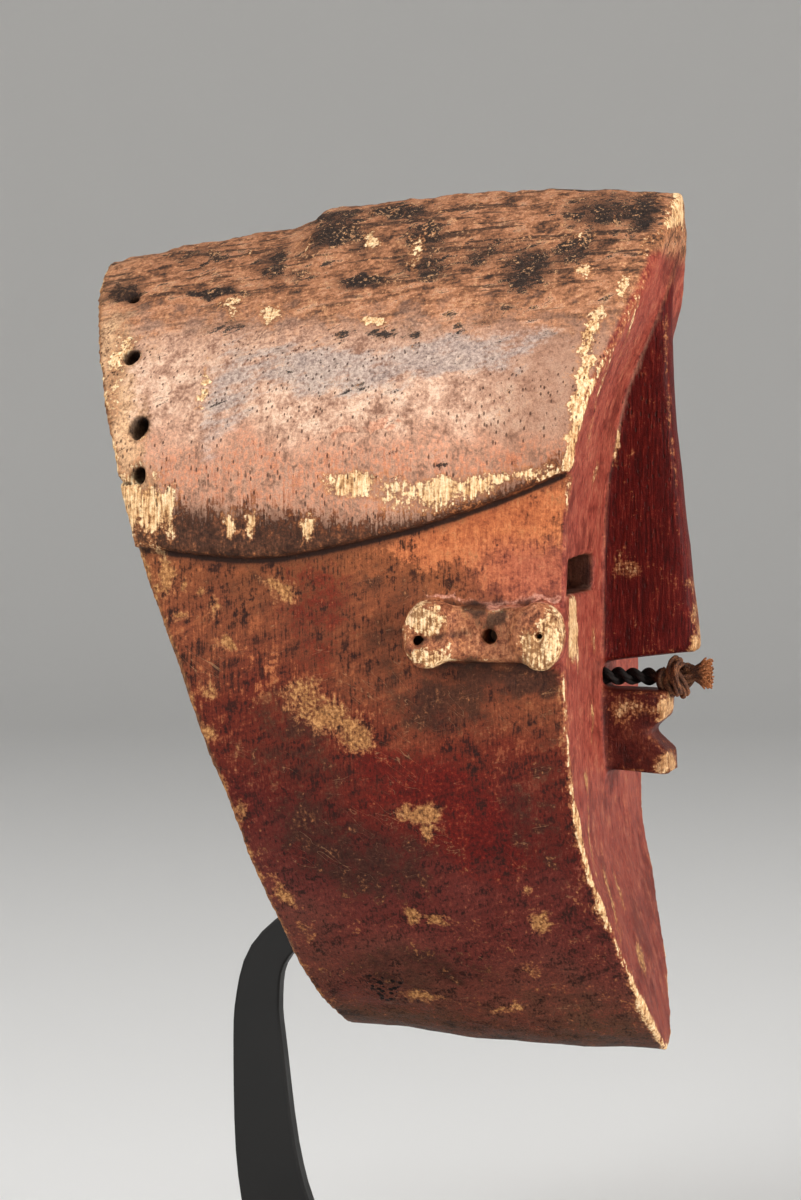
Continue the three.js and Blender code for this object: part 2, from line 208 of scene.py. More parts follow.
class Sheet:
    def __init__(self, name):
        self.material = bpy.data.materials.new(name)
        self.material.use_nodes = True
        self.tree = self.material.node_tree
        self.shader = self.tree.nodes["Principled BSDF"]

    def add(self, kind, values=(), output=0, **settings):
        made = self.tree.nodes.new("ShaderNode" + kind)
        for key, value in settings.items():
            setattr(made, key, value)
        named = values.items() if isinstance(values, dict) else enumerate(values)
        for key, value in named:
            self.plug(value, made.inputs[key])
        return made.outputs[output]

    def plug(self, value, socket):
        if isinstance(value, bpy.types.NodeSocket):
            self.tree.links.new(value, socket)
        elif value is not None:
            socket.default_value = value

    def maskSpace(self, stretch=(1, 1, 1), turn=(0, 0, 0)):
        # Object coordinates as mm in the mask's own axes
        moved = {"Vector": self.add("TexCoord", output=3), "Location": (0, -eyePlane, -chinHeight)}
        inMm = self.add("Mapping", {**moved, "Scale": (1 / mm,) * 3})
        if stretch == (1, 1, 1) and turn == (0, 0, 0):
            return inMm
        turned = self.add("Mapping", {"Vector": inMm, "Rotation": [math.radians(t) for t in turn]})
        return self.add("Mapping", {"Vector": turned, "Scale": stretch})

    def noise(self, place, scale, detail=3, rough=0.5):
        values = {"Vector": place, "Scale": scale, "Detail": detail, "Roughness": rough}
        return self.add("TexNoise", values)

    def cells(self, place, scale=1):
        return self.add("TexVoronoi", {"Vector": place, "Scale": scale})

    def stored(self, name):
        return self.add("Attribute", output=2, attribute_name=name)

    def math(self, work, *values):
        return self.add("Math", values, operation=work)

    def total(self, *parts):
        # A sum of values, each with its weight
        result = 0
        for value, weight in parts:
            result = self.math("MULTIPLY_ADD", value, weight, result)
        return result

    def times(self, first, *others):
        for other in others:
            first = self.math("MULTIPLY", first, other)
        return first

    def most(self, first, *others):
        for other in others:
            first = self.math("MAXIMUM", first, other)
        return first

    def offMiddle(self, texture):
        return self.math("ABSOLUTE", self.math("SUBTRACT", texture, 0.5))

    def drifted(self, value, *textures):
        # A value moved to and fro by textures, which lie round 0.5, each with its reach
        reach = sum(weight for _, weight in textures)
        return self.total((value, 1), *textures, (-reach / 2, 1))

    def rise(self, value, low, high, start=0, end=1):
        values = {"Value": value, "From Min": low, "From Max": high, "To Min": start, "To Max": end}
        return self.add("MapRange", values, interpolation_type="SMOOTHSTEP")

    def within(self, value, low, high, fade):
        above = self.rise(value, low - fade, low + fade)
        return self.times(above, self.rise(value, high + fade, high - fade))

    def torn(self, field, edge, spread, low, high, most):
        # A patch whose outline is broken up by the texture edge
        return self.rise(self.total((field, 1), (edge, spread), (-0.5, spread)), low, high, 0, most)

    def hairline(self, place, width):
        # Thin lines that wander through the pattern
        return self.rise(self.offMiddle(self.noise(place, 1, 2)), width, width * 0.3)

    def mix(self, share, a, b, blend="MIX"):
        made = self.tree.nodes.new("ShaderNodeMix")
        made.data_type = "RGBA"
        made.blend_type = blend
        for socket, value in zip((made.inputs[0], made.inputs[6], made.inputs[7]), (share, a, b)):
            self.plug(value, socket)
        return made.outputs[2]

    def ramp(self, value, stops):
        made = self.tree.nodes.new("ShaderNodeValToRGB")
        self.plug(value, made.inputs[0])
        points = made.color_ramp.elements
        while len(points) < len(stops):
            points.new(0.5)
        for point, (where, colour) in zip(points, stops):
            point.position = where
            point.color = colour
        return made.outputs[0]

    def shades(self, value, *colours, spread=0.13):
        # Even steps of colour over the span that a texture fills
        places = np.linspace(0.5 - spread, 0.5 + spread, len(colours))
        return self.ramp(value, [(where, paint(*colour)) for where, colour in zip(places, colours)])

    def lay(self, base, share, colours, texture=None, spread=0.13):
        # One colour, or shades that follow a texture, laid over the base
        if texture is None:
            return self.mix(share, base, paint(*colours))
        return self.mix(share, base, self.shades(texture, *colours, spread=spread))

    def bump(self, height, depth, strength=1):
        return self.add("Bump", {"Height": height, "Distance": depth * mm, "Strength": strength})


def paint(red, green, blue):
    # A colour as 0 to 255, as a paint chart gives it
    shares = [part / 255 for part in (red, green, blue)]
    return (*[((c + 0.055) / 1.055) ** 2.4 if c > 0.0393 else c / 12.92 for c in shares], 1)


# The carved mask

maskForm = {
    "voxel": 1.2,
    "triangles": 190000,
    # The lines are distances from the eyes, back or forward, and heights above the chin
    "capLine": [(200, 188), (150, 183.7), (110, 180.5), (75, 186), (39, 195.5), (4, 209), (-44, 232)],
    "faceLine": [
        (23.8, -20), (23.8, 2), (19.6, 20), (14.5, 40), (8.7, 60), (4.2, 80), (1.5, 105), (0, 136),
        (0, 182), (1.6, 206), (7.4, 235), (12.9, 250), (21.5, 272), (25.2, 288), (27.6, 301), (29, 330),
    ],
    "rimLine": [
        (86, -20), (95, 6), (103, 24), (112, 57), (126, 105), (140, 147), (153, 183), (163.5, 222),
        (172, 245), (179, 264), (185.5, 284), (190, 320),
    ],
    # Heights above the chin, and how much of the front arris is bare there
    "arrisWear": [
        (10, 0.9), (30, 0.9), (45, 0.55), (62, 1), (95, 1), (110, 0.5), (135, 0.7), (150, 0.15),
        (195, 0.1), (206, 0.7), (220, 1), (245, 1), (262, 0.75), (285, 0.5), (296, 0.8), (306, 1.1),
    ],
    "flatRounds": 26,
    "edgeRounds": 2,
    "shoulderRounds": 30,
    "edgeReach": 8,
    # Depths of the relief in mm, and the sizes of its waves across, back and up
    "waveDepth": 0.6,
    "waveSize": (26, 34, 22),
    "markDepth": 0.25,
    "markSize": (5, 9, 14),
    "chipDepth": 1.6,
    "chipSize": (6, 7, 11),
    "undercut": 1,
    "bellyDrop": 1.6,
    "crownRelief": 0.7,
    "crownSize": (11, 6, 9),
    "crestStep": 0.9,
    "crackDepth": 1.4,
    "markDrift": 3,
    "earRelief": 0.9,
    "earSize": (7, 8, 8),
    "earValley": 1.3,
    # Across, behind the eyes, above the chin, radius, tilt
    "laceHoles": [
        (41, 171.5, 279.4, 2.6, 0.75), (66, 166, 255.6, 3.5, 0.5), (77, 154, 225.2, 4.4, 0.12),
        (80, 151.6, 208.6, 3.3, 0),
    ],
    "laceSlant": 0.47,
    "middle": 155,
    "hollowHalf": 81,
    "noseHalf": 13,
    "ear": {"across": 88, "low": 136, "high": 174, "back": 62},
    # The far side's marks are the near side's, turned round about here
    "farDrop": 9,
    "farStretch": 0.8,
    "farStart": 118,
    "margin": 0.05,
}

# Marks on the near side: behind the eyes, above the chin, half length, half height, turn, strength
maskMarks = {
    "bare": [
        (92, 132, 7, 5, 20, 0.7), (82.5, 126, 8, 5, 30, 0.9), (73, 118.5, 6, 5, 35, 0.9),
        (50.5, 92.5, 5, 1.5, 0, 1.5), (49, 86, 1.5, 4.5, 15, 1.4), (58.7, 92.2, 1.8, 1.2, 0, 1.3),
        (131, 240, 0.9, 8, 0, 1.2), (62, 286, 1.5, 7, 0, 0.55), (74, 206, 7, 4.5, 0, 0.95),
        (59, 203, 7, 5.5, -12, 0.6), (44, 203.6, 11, 5.4, -14, 0.85), (29, 206.6, 9, 3.9, -16, 0.85),
        (13, 209.6, 9, 2.3, -16, 0.75), (156, 197, 5, 10, 0, 1.2), (147.5, 197, 3, 10, 0, 1.1),
        (140.5, 196, 3, 8, 0, 0.9), (118, 190, 1.7, 5, 0, 1.1), (109, 190.5, 1.7, 4, 0, 1),
        (90, 190.5, 1.7, 5, 0, 1), (139, 158.5, 4, 1.6, -20, 1.2), (127, 134, 3, 2.5, 0, 0.7),
        (100, 169.5, 5, 2.5, 20, 0.8), (145, 167, 1.5, 4, 0, 0.8), (59, 52.4, 2, 2.4, 0, 1.1),
        (50, 53.1, 2, 1.2, 0, 1), (13.4, 51, 3, 4, 0, 1), (18.5, 64, 1.4, 1.2, 0, 1),
        (58, 20, 8, 1.5, 0, 0.8), (30, 16, 5, 1.2, 0, 0.8), (20, 34, 3, 3, 0, 0.5),
        (-24, 125, 2.5, 5, 0, 1.4), (-13, 124.5, 9, 3.5, 0, 0.65), (-24.5, 104.5, 3, 4, 0, 1.1),
        (-34.5, 161, 1.6, 14, 0, 0.6), (-34.8, 146.5, 2, 4, 0, 1.4), (-9, 176, 4, 3, 0, 0.45),
        (-18, 170.5, 3, 2, 0, 0.45), (-28, 303, 3, 7, 0, 0.9), (-22, 290, 2, 5, 0, 0.5),
        (-5, 258, 2.3, 7, 10, 1.15), (-4.5, 240, 2.3, 12, 5, 1.5), (-3.5, 222, 2.2, 10, 5, 1.5),
        (-14, 275, 2, 4, 20, 0.8), (62, 290, 3, 4, 0, 0.55), (80, 292, 3, 2.5, 0, 0.9),
        (110, 266, 5, 2.5, 0, 0.8), (128, 268, 4, 3, 0, 0.7), (72, 263, 4, 1, 0, 1),
        (166, 252, 4, 9, 0, 0.7), (166, 236, 4, 16, 0, 0.5), (0, 280, 3, 2, 0, 0.8),
        (135.5, 170.5, 1, 3.5, 0, 1), (130, 169, 1, 4, 0, 1), (124.5, 165, 2, 2.5, 30, 1),
        (118, 150.5, 3, 1, 0, 1), (142, 176, 1.4, 9, -18, 0.85), (148, 190, 1.2, 4, 0, 0.7),
        (128, 120, 1.5, 4, -18, 0.75), (118, 92, 1.6, 5, -18, 0.8), (106, 60, 1.6, 6, -25, 0.75),
        (100, 44, 1.5, 4, -20, 0.7),
    ],
    "soot": [
        (97, 301, 12, 2.5, 0, 1), (95, 294, 10, 4.5, -8, 1.2), (73, 303, 11, 3, 0, 1.2),
        (82, 291, 5, 4, 0, 1), (61, 293, 8, 5, 0, 1), (58, 283, 9, 5, 10, 1), (79, 277, 9, 2.4, 0, 1.3),
        (-4, 302, 14, 6, 0, 1), (-16, 302, 5, 6, 0, 1.3), (20, 280, 8, 8, 30, 1.1),
        (5, 288, 9, 5, -25, 0.9), (38, 287, 10, 5, -30, 0.7), (135, 274, 15, 1.8, 0, 1.4),
        (173, 274, 5, 3, 0, 1.1), (116, 284, 5, 6, 0, 0.9), (105, 280, 8, 3, 0, 0.6),
        (64, 258, 26, 2.4, 2, 0.75), (30, 264, 12, 4, -20, 0.6), (124, 262, 10, 4, 0, 0.55),
        (150, 288, 12, 3, 0, 0.6),
    ],
    # Painted sheen: where the cap's upper middle takes a cool grey-blue gloss of reflected light
    "paintedSheen": [
        (86, 246, 30, 8, 4, 1), (44, 250, 28, 7, -6, 1), (18, 255, 12, 5, -10, 0.7),
        (121, 240, 10, 16, 0, 0.8), (126, 226, 5, 14, 0, 0.7),
    ],
    # Darker patches over the side, among them a band just under the ear
    "darkPatches": [
        (43, 130, 16, 10, 0, 0.9), (29, 137, 16, 6, 0, 0.8), (12, 138.5, 11, 4, 0, 1.2),
        (75, 74, 26, 14, 0, 0.8), (96, 116, 18, 16, 40, 0.7), (92, 84, 14, 16, 0, 0.8),
        (62, 30, 26, 10, 0, 0.7), (112, 168, 20, 8, 0, 0.5), (26, 141, 24, 3.5, 0, 1),
        (62, 148, 8, 14, 0, 0.6), (18, 92, 6, 14, 0, 0.6), (64, 170, 14, 8, 0, 0.5),
        (7, 96, 5, 30, 0, 0.5),
    ],
    "red": [
        (48, 100, 20, 13, 0, 1), (64, 108, 10, 9, 0, 0.9), (32, 84, 18, 14, 0, 0.9),
        (88, 166, 16, 14, 0, 0.7), (88, 150, 10, 12, 0, 0.6), (70, 96, 12, 10, 0, 0.6),
        (100, 205, 16, 10, 0, 0.6),
    ],
    "orange": [
        (26, 193, 24, 9, -12, 1.1), (46, 184, 14, 6, 0, 0.8), (14, 178, 16, 10, 0, 0.7),
        (84, 186, 5, 3, 0, 0.7), (110, 140, 12, 10, 0, 0.3), (95, 86, 8, 8, 0, 0.3),
    ],
    "chalk": [
        (40, 167.5, 9, 1, 8, 1), (24, 166, 10, 0.9, 0, 0.9), (8, 167.5, 8, 1, -6, 1),
        (50, 162, 1, 4, 0, 0.6),
    ],
    "wormed": [
        (74.4, 24.5, 6.5, 4.5, 0, 1.3),
    ],
    "scar": [
        (68, 225.5, 13, 1, -18, 1.4),
    ],
    "dark": [
        (30, 163, 5, 3.5, 0, 1.2), (22, 161, 3, 5, 30, 1), (31, 146, 4, 3, 0, 0.8),
        (48, 152, 2, 4, 40, 0.8), (173, 274, 7, 4, 0, 0.9), (21, 154, 5, 5, 0, 0.6),
        (14, 146, 3, 3, 0, 0.7), (40, 142.5, 9, 2, 0, 0.6),
    ],
}
# The same for the flat front of the ears
earMarks = [
    (47, 161, 7, 4, 30, 1.3), (46, 147, 8, 3.5, 0, 1.1), (6, 149, 7, 8, 0, 1.15), (2, 157, 5, 8, 0, 0.9),
    (36, 153, 6, 2, 20, 0.4),
]
# Worn places on the face: towards the near side, above the chin, half width, half height, turn, strength
faceMarks = [
    (68, 157, 8, 9, 10, 1.4), (72, 172, 2.5, 6, 0, 0.9), (58, 146, 1.6, 8, 12, 0.8),
    (30, 120, 1.6, 9, 8, 0.6), (22, 150, 5, 3, 30, 0.6), (48, 102, 4, 2.5, 0, 0.7),
    (34, 210, 6, 3, -20, 0.6), (20, 60, 3, 6, 0, 0.6), (-26, 118, 5, 4, 20, 0.7),
    (-48, 214, 5, 8, -20, 0.6), (-30, 244, 3, 8, 10, 0.6), (14, 34, 5, 5, 0, 0.8),
    (52, 84, 1.6, 16, 10, 0.7), (40, 60, 2, 14, 12, 0.6), (64, 240, 2, 14, -10, 0.6),
    (52, 262, 2, 10, -20, 0.6),
]
capLine = curveThrough(maskForm["capLine"])[::-1]
faceLine = curveThrough(maskForm["faceLine"])
rimLine = curveThrough(maskForm["rimLine"])
zoneNames = ["overCap", "toRim", "rim", "inside", "nose", "face", "ear", "holeShade", "edge", "creviceShade"]
zoneNames += maskMarks


def zonesOf(points, normals):
    # What each point of the surface belongs to, as shares, and its distance from the mask's lines
    x, y, z = points.T
    forward = -y - np.interp(z, faceLine[:, 1], faceLine[:, 0])
    toRim = np.interp(z, rimLine[:, 1], rimLine[:, 0]) - y
    overCap = z - np.interp(y, capLine[:, 0], capLine[:, 1])
    around = np.stack([x, 0 * y, z - maskForm["middle"]], 1)
    outward = (normals * around).sum(1) / np.maximum(np.linalg.norm(around, axis=1), 1)
    half, noseHalf, earBox = maskForm["hollowHalf"], maskForm["noseHalf"], maskForm["ear"]
    rim = ease(3, 1.2, toRim) * ease(0.2, 0.5, normals[:, 1])
    inside = ease(-5, -8, forward) * ease(0.25, 0.05, outward) * ease(half + 1.5, half, np.abs(x)) * (1 - rim)
    nose = ease(0.8, 2, forward) * ease(noseHalf + 1, noseHalf, np.abs(x))
    face = ease(-5, -2.5, forward) * ease(-0.15, -0.5, normals[:, 1]) * (1 - nose)
    low, high, back = earBox["low"], earBox["high"], earBox["back"]
    ear = ease(earBox["across"] - 1, earBox["across"] + 1, np.abs(x)) * ease(high + 2, high - 2, z)
    ear *= ease(low - 2, low + 2, z) * ease(back + 2, back - 2, y)
    outer = (1 - inside) * (1 - face) * (1 - nose) * (1 - rim)
    return {
        "outward": outward, "forward": forward, "toRim": toRim, "overCap": overCap, "rim": rim,
        "inside": inside, "ear": ear, "nose": nose, "face": face, "outer": outer,
    }


def markField(points, marks, drift):
    # On the far side the same marks lie further back and lower, so that the two sides differ
    x, y, z = points.T
    far = ease(-2, 16, x)
    y = y + drift[0]
    z = z + drift[1]
    near = np.zeros(len(points))
    away = np.zeros(len(points))
    farBack = maskForm["farStart"] - maskForm["farStretch"] * y
    farHigh = z + maskForm["farDrop"]
    for back, height, length, tall, turn, strength in marks:
        c, s = math.cos(math.radians(turn)), math.sin(math.radians(turn))
        for field, u, v in ((near, y - back, z - height), (away, farBack - back, farHigh - height)):
            reach = ((u * c + v * s) / length) ** 2 + ((v * c - u * s) / tall) ** 2
            np.maximum(field, strength * np.exp(-0.6 * reach**1.5), out=field)
    return near * (1 - far) + away * far


def laceHoles(points):
    # How far inside a lacing hole a point lies, 0 outside
    x, y, z = points.T
    deep = np.zeros(len(points))
    for across, back, height, radius, tilt in maskForm["laceHoles"]:
        inwards = np.abs(x) - across
        off = np.hypot(y - back - maskForm["laceSlant"] * inwards, z - height - math.tan(tilt) * inwards)
        deep = np.maximum(deep, ease(radius + 0.9, radius, off) * ease(2.5, -1, inwards))
    return deep


def convexity(points, normals, edges, rounds):
    # How far a point stands out of its surroundings, in mm
    calm = soften(points, edges, 1, rounds)
    return ((points - calm) * normals).sum(1)


def carveRelief(mesh):
    edges = edgesOf(mesh)
    points = pointsOf(mesh)
    # The flats are calmed, and the arrises between them only a little
    bend = np.abs(convexity(points, normalsOf(mesh), edges, maskForm["edgeReach"]))
    bend = soften(bend[:, None].repeat(3, 1), edges, 1, 2)[:, 0]
    points = soften(points, edges, ease(0.35, 0.12, bend), maskForm["flatRounds"])
    points = soften(points, edges, 1, maskForm["edgeRounds"])
    setPoints(mesh, points)
    normals = normalsOf(mesh)
    zones = zonesOf(points, normals)
    inside, outer, nose, ear = [zones[name] for name in ("inside", "outer", "nose", "ear")]
    x, y, z = points.T

    # The cap's front shoulder is worn round, most of all at the top
    shoulder = ease(9, 3, np.abs(zones["forward"] + 3)) * ease(222, 262, z) * (1 - inside)
    shoulder *= ease(9, 12, np.abs(x))
    points = soften(points, edges, shoulder, maskForm["shoulderRounds"])
    sharp = convexity(points, normals, edges, maskForm["edgeReach"])

    # Tool waves and small tool marks
    wave = roughness(points, maskForm["waveSize"], 2)
    marks = roughness(points, maskForm["markSize"], 3, 7)
    depth = maskForm["waveDepth"] * wave + maskForm["markDepth"] * marks
    depth *= 1 - 0.5 * nose

    # The top of the crown is rougher, and its step is sharper than the block's
    crown = ease(268, 292, z) * outer
    depth += maskForm["crownRelief"] * crown * roughness(points, maskForm["crownSize"], 3, 19)
    step = ease(88, 96, y) * ease(106, 103, y) - 0.8 * ease(104, 108, y) * ease(128, 112, y)
    depth += maskForm["crestStep"] * step * ease(282, 292, z) * ease(44, 30, np.abs(x)) * outer

    # Chips and rubbed places along the arrises
    chips = ease(0.1, 0.5, roughness(points, maskForm["chipSize"], 3, 31)) * ease(0.35, 0.9, sharp)
    depth -= maskForm["chipDepth"] * chips

    # A cut line under the cap's lower edge
    line = np.exp(-(((zones["overCap"] + 1.2) / 1.3) ** 2)) * outer
    depth -= maskForm["undercut"] * line

    # The ear is rough, with a valley that opens from the rear hole into the web
    depth += maskForm["earRelief"] * ear * roughness(points, maskForm["earSize"], 3, 43)
    valley = np.exp(-(((z - 153.5 + 0.15 * (y - 49)) / (1 + 0.22 * np.maximum(49 - y, 0))) ** 2))
    depth -= maskForm["earValley"] * valley * ease(51, 48, y) * ease(22, 34, y) * ear

    # The crack from the lowest lacing hole out to the rim
    crack = np.exp(-(((z - 206.5 - 0.12 * (y - 158)) / 0.9) ** 2)) * ease(153, 155, y) * ease(0, 4, -x)
    depth -= maskForm["crackDepth"] * crack * (1 - inside)
    points = points + normals * depth[:, None]

    # The chin's underside hangs a little lower in the middle of its length
    belly = ease(26, 8, z) * ease(-22, 15, y) * ease(75, 45, y)
    points[:, 2] -= maskForm["bellyDrop"] * belly
    setPoints(mesh, points)


def paintZones(mesh):
    # Where the paint, the wear and the dirt lie, point by point
    points, normals, edges = pointsOf(mesh), normalsOf(mesh), edgesOf(mesh)
    x, y, z = points.T
    zones = zonesOf(points, normals)
    forward, overCap, inside = zones["forward"], zones["overCap"], zones["inside"]
    sharp = convexity(points, normals, edges, maskForm["edgeReach"])

    # Arrises are worn by their height in front, and unevenly along the rim, but not along the cap's edge
    wear = np.interp(z, *np.array(maskForm["arrisWear"]).T)
    rimWear = 0.55 + 1.1 * roughness(points, (9, 9, 13), 3, 61)
    wear = np.where(forward > -12, wear, rimWear) * (1 - 0.5 * zones["nose"]) * (1 - 0.4 * zones["ear"])
    capEdge = ease(6, 3, np.abs(overCap)) * ease(-9, -14, forward) * ease(6, 9, zones["toRim"])
    wear *= 1 - 0.75 * capEdge
    zones["edge"] = np.clip(sharp / 0.5, 0, 1.2) * wear
    # Painted shade in the creases, less on the nose and the face
    zones["creviceShade"] = np.clip(-sharp / 0.7, 0, 1) * (1 - 0.8 * zones["nose"]) * (1 - 0.6 * zones["face"])

    # Above the ears the cap's stain goes round the arris, and it covers the forehead's top
    broad = convexity(points, normals, edges, 3 * maskForm["edgeReach"])
    stained = ease(0.7, 1.4, broad) * ease(205, 225, z)
    top = ease(284, 290, z + 2 * roughness(points, (6, 6, 6)))
    zones["face"] *= 1 - np.maximum(stained, top)

    # Painted shade in the lacing holes and in the eye slits
    slit = ease(17, 20, np.abs(x)) * ease(79, 76, np.abs(x)) * ease(166, 168.5, z) * ease(182, 180, z)
    slit *= ease(12, 8, y) * ease(-0.6, -2, forward)
    zones["holeShade"] = np.maximum(laceHoles(points) * ease(0.93, 0.75, zones["outward"]), slit)
    zones["toRim"] = np.clip(zones["toRim"], 0, 60)

    # The marks, which the wobble of drift keeps from being neat ovals
    drift = [maskForm["markDrift"] * roughness(points, (7, 7, 7), 3, shift) for shift in (50, 70)]
    for name, marks in maskMarks.items():
        zones[name] = markField(points, marks, drift) * (1 - inside)
    bareEar = markField(points, earMarks, drift) * (1 - inside)
    zones["bare"] = np.where(zones["ear"] > 0.5, bareEar, zones["bare"] * (1 - zones["face"]))
    across = points[:, [1, 0, 2]] * (1, -1, 1)
    zones["bare"] = np.maximum(zones["bare"], markField(across, faceMarks, drift) * zones["face"])
    return points, zones


def keepZones(mesh, source, zones):
    # Carries the stored values over to the thinned mesh from the nearest point of the full one
    tree = kdtree.KDTree(len(source))
    for i, point in enumerate(source):
        tree.insert(point, i)
    tree.balance()
    nearest = np.array([tree.find(point)[1] for point in pointsOf(mesh)])
    for name in zoneNames:
        layer = mesh.attributes.new(name, "FLOAT", "POINT")
        layer.data.foreach_set("value", zones[name][nearest].astype(np.float32))


def makeMask():
    piece = mergedCopy("mask", "mask_carved")
    mesh = applied(piece, "REMESH", mode="VOXEL", voxel_size=maskForm["voxel"] * mm, use_smooth_shade=True)
    print("mask remeshed:", len(mesh.polygons), "faces")
    carveRelief(mesh)
    full, zones = paintZones(mesh)
    share = maskForm["triangles"] / (2 * len(mesh.polygons))
    mesh = applied(piece, "DECIMATE", ratio=min(1, share))
    keepZones(mesh, full, zones)
    low, high = np.array(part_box("mask")) / mm - (0, eyePlane, chinHeight)
    setPoints(mesh, np.clip(pointsOf(mesh), low + maskForm["margin"], high - maskForm["margin"]))
    mesh.shade_smooth()
    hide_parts("mask")
    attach(piece, "root")
    print("mask carved:", len(mesh.polygons), "faces")
    return piece


maskPaints = {
    "freshWood": [(112, 72, 42), (196, 148, 100), (230, 194, 148), (242, 216, 176)],
    "oldWood": [(92, 58, 34), (150, 100, 60), (190, 138, 88)],
    "earDirt": (120, 80, 50),
    "cap": [(134, 96, 77), (194, 153, 128), (230, 197, 171)],
    # Brown with painted shade, for the cap's front
    "capFrontBrownShade": (146, 104, 82),
    "crown": [(60, 42, 33), (128, 84, 58), (176, 120, 86), (206, 158, 126)],
    "ruddy": [(150, 80, 52), (198, 122, 86)],
    # Painted sheen, cool grey-blue reflected light
    "paintedSheen": [(124, 113, 109), (180, 165, 156)],
    "rimStrip": [(132, 96, 68), (202, 160, 120), (228, 192, 150)],
    "thinSoot": [(26, 19, 16), (66, 54, 47)],
    "soot": [(12, 10, 10), (42, 37, 34)],
    "streaks": [(30, 22, 18), (74, 52, 40)],
    "flecks": [(150, 108, 76), (206, 160, 118)],
    "char": [(24, 11, 5), (62, 31, 15), (112, 60, 32)],
    "sideHeight": 220,
    "side": [
        (0.0, (92, 60, 44)), (0.1, (98, 51, 41)), (0.2, (92, 38, 32)), (0.36, (84, 23, 16)),
        (0.5, (97, 34, 20)), (0.62, (116, 60, 37)), (0.76, (128, 72, 42)), (0.9, (148, 82, 50)),
    ],
    "stain": (34, 15, 10),
    "lowRub": (120, 58, 46),
    "highRub": (170, 96, 58),
    "amber": [(134, 68, 42), (166, 90, 54), (188, 110, 68), (206, 134, 86)],
    "red": [(44, 6, 4), (84, 12, 7), (116, 26, 16)],
    "darkPatches": [(34, 20, 14), (60, 36, 26)],
    "blush": [(128, 58, 46), (176, 98, 82)],
    # Painted shade under the cap's edge
    "underCapShade": (54, 28, 17),
    # Painted shadow under the cap's ledge
    "ledgeShadow": (22, 11, 7),
    "face": [(86, 30, 24), (132, 54, 43), (154, 76, 60), (176, 104, 82)],
    "faceDirt": [(64, 22, 17), (96, 38, 29)],
    "lowFace": (92, 34, 26),
    "nose": [(48, 6, 4), (72, 10, 7), (90, 16, 11), (118, 40, 30)],
    "lips": [(50, 16, 12), (80, 27, 20), (112, 54, 37)],
    "ear": [(66, 34, 22), (128, 74, 50), (172, 112, 78), (204, 152, 114)],
    "rim": [(74, 46, 30), (128, 88, 58), (176, 132, 90)],
    "hollow": [(44, 29, 20), (78, 53, 36), (112, 78, 52)],
    "thinned": [(120, 70, 42), (184, 122, 78)],
    "scratch": (200, 150, 108),
    "pore": (52, 28, 20),
    "wormHole": (20, 10, 7),
    "scar": [(184, 122, 92), (226, 168, 138)],
    "chalk": [(186, 116, 96), (224, 166, 144)],
    "dark": [(34, 22, 16), (62, 40, 28)],
    # Painted shade in holes and slits
    "holeShade": (26, 14, 9),
    # Painted shade in creases
    "creviceShade": (38, 20, 14),
    "specular": 0.14,
}


# Scales per mm, detail and roughness, and for the drawn-out textures how they are stretched and turned
woodTextures = {
    "broad": (0.03, 3, 0.5),
    "mottle": (0.14, 6, 0.65),
    "fine": (0.75, 4, 0.65),
    "grit": (2.4, 3, 0.6),
    "grain": (1, 4, 0.62),
    "grainStretch": (1.2, 1.2, 0.11),
    "smear": (1, 5, 0.65),
    "smearStretch": (0.3, 0.05, 0.3),
    "smearTurn": (25, 0, 0),
    "streak": (1, 4, 0.6),
    "streakStretch": (0.22, 0.022, 0.4),
    "streakTurn": (5, 0, 0),
    "nickStretch": (0.2, 0.03, 0.22),
    "nickTurn": (-35, 0, 0),
    "scrapeStretch": (0.2, 0.022, 0.3),
    "scrapeTurn": (12, 0, 0),
    "scratchWidth": 0.005,
    "poreStretch": (0.58, 0.58, 0.22),
    "wormHoles": 0.42,
    "reliefDepth": 0.5,
    "reliefStrength": 0.9,
}


class WoodTextures:
    # What all the paints of the mask share: its zones, its marks and the textures that break them up
    def __init__(self, s):
        make = woodTextures
        self.place = s.maskSpace()
        split = s.add("SeparateXYZ", [self.place])
        self.back, self.height = split.node.outputs[1], split.node.outputs[2]
        self.zone = {name: s.stored(name) for name in zoneNames}
        self.broad = s.noise(self.place, *make["broad"])
        self.mottle = s.noise(self.place, *make["mottle"])
        self.fine = s.noise(self.place, *make["fine"])
        self.grit = s.noise(self.place, *make["grit"])
        self.grain = s.noise(s.maskSpace(make["grainStretch"]), *make["grain"])
        self.smear = s.noise(s.maskSpace(make["smearStretch"], make["smearTurn"]), *make["smear"])
        self.streak = s.noise(s.maskSpace(make["streakStretch"], make["streakTurn"]), *make["streak"])
        self.ragged = s.total((self.mottle, 0.45), (self.fine, 0.35), (self.grain, 0.3), (0.5, -0.1))
        self.woody = s.total((self.mottle, 0.25), (self.fine, 0.25), (self.grain, 0.6), (0.5, -0.1))
        self.frayed = s.total((self.mottle, 0.45), (self.fine, 0.45), (self.grain, 0.2), (0.5, -0.1))
        self.tone = s.total((self.mottle, 0.6), (self.fine, 0.25), (self.grain, 0.15))
        self.patchy = s.total((self.broad, 0.6), (self.mottle, 0.4))


def bareWood(s, t):
    # Cream where it is freshly worn, tan where it has darkened again
    cream = s.shades(t.woody, *maskPaints["freshWood"], spread=0.12)
    tan = s.shades(s.total((t.fine, 0.5), (t.woody, 0.5)), *maskPaints["oldWood"], spread=0.11)
    arris = s.times(s.rise(t.zone["edge"], 0.15, 0.5), s.rise(t.zone["toRim"], 8, 16))
    sill = s.times(t.zone["face"], s.rise(t.height, 130, 150, 0.15, 0.8))
    ahead = s.total((t.zone["nose"], 0.35), (sill, 1))
    fresh = s.most(s.rise(t.zone["overCap"], -6, 4), arris, t.zone["ear"], ahead)
    wood = s.mix(fresh, tan, cream)
    dirty = s.times(t.zone["ear"], s.rise(t.frayed, 0.53, 0.45, 0, 0.7))
    return s.lay(wood, dirty, maskPaints["earDirt"])


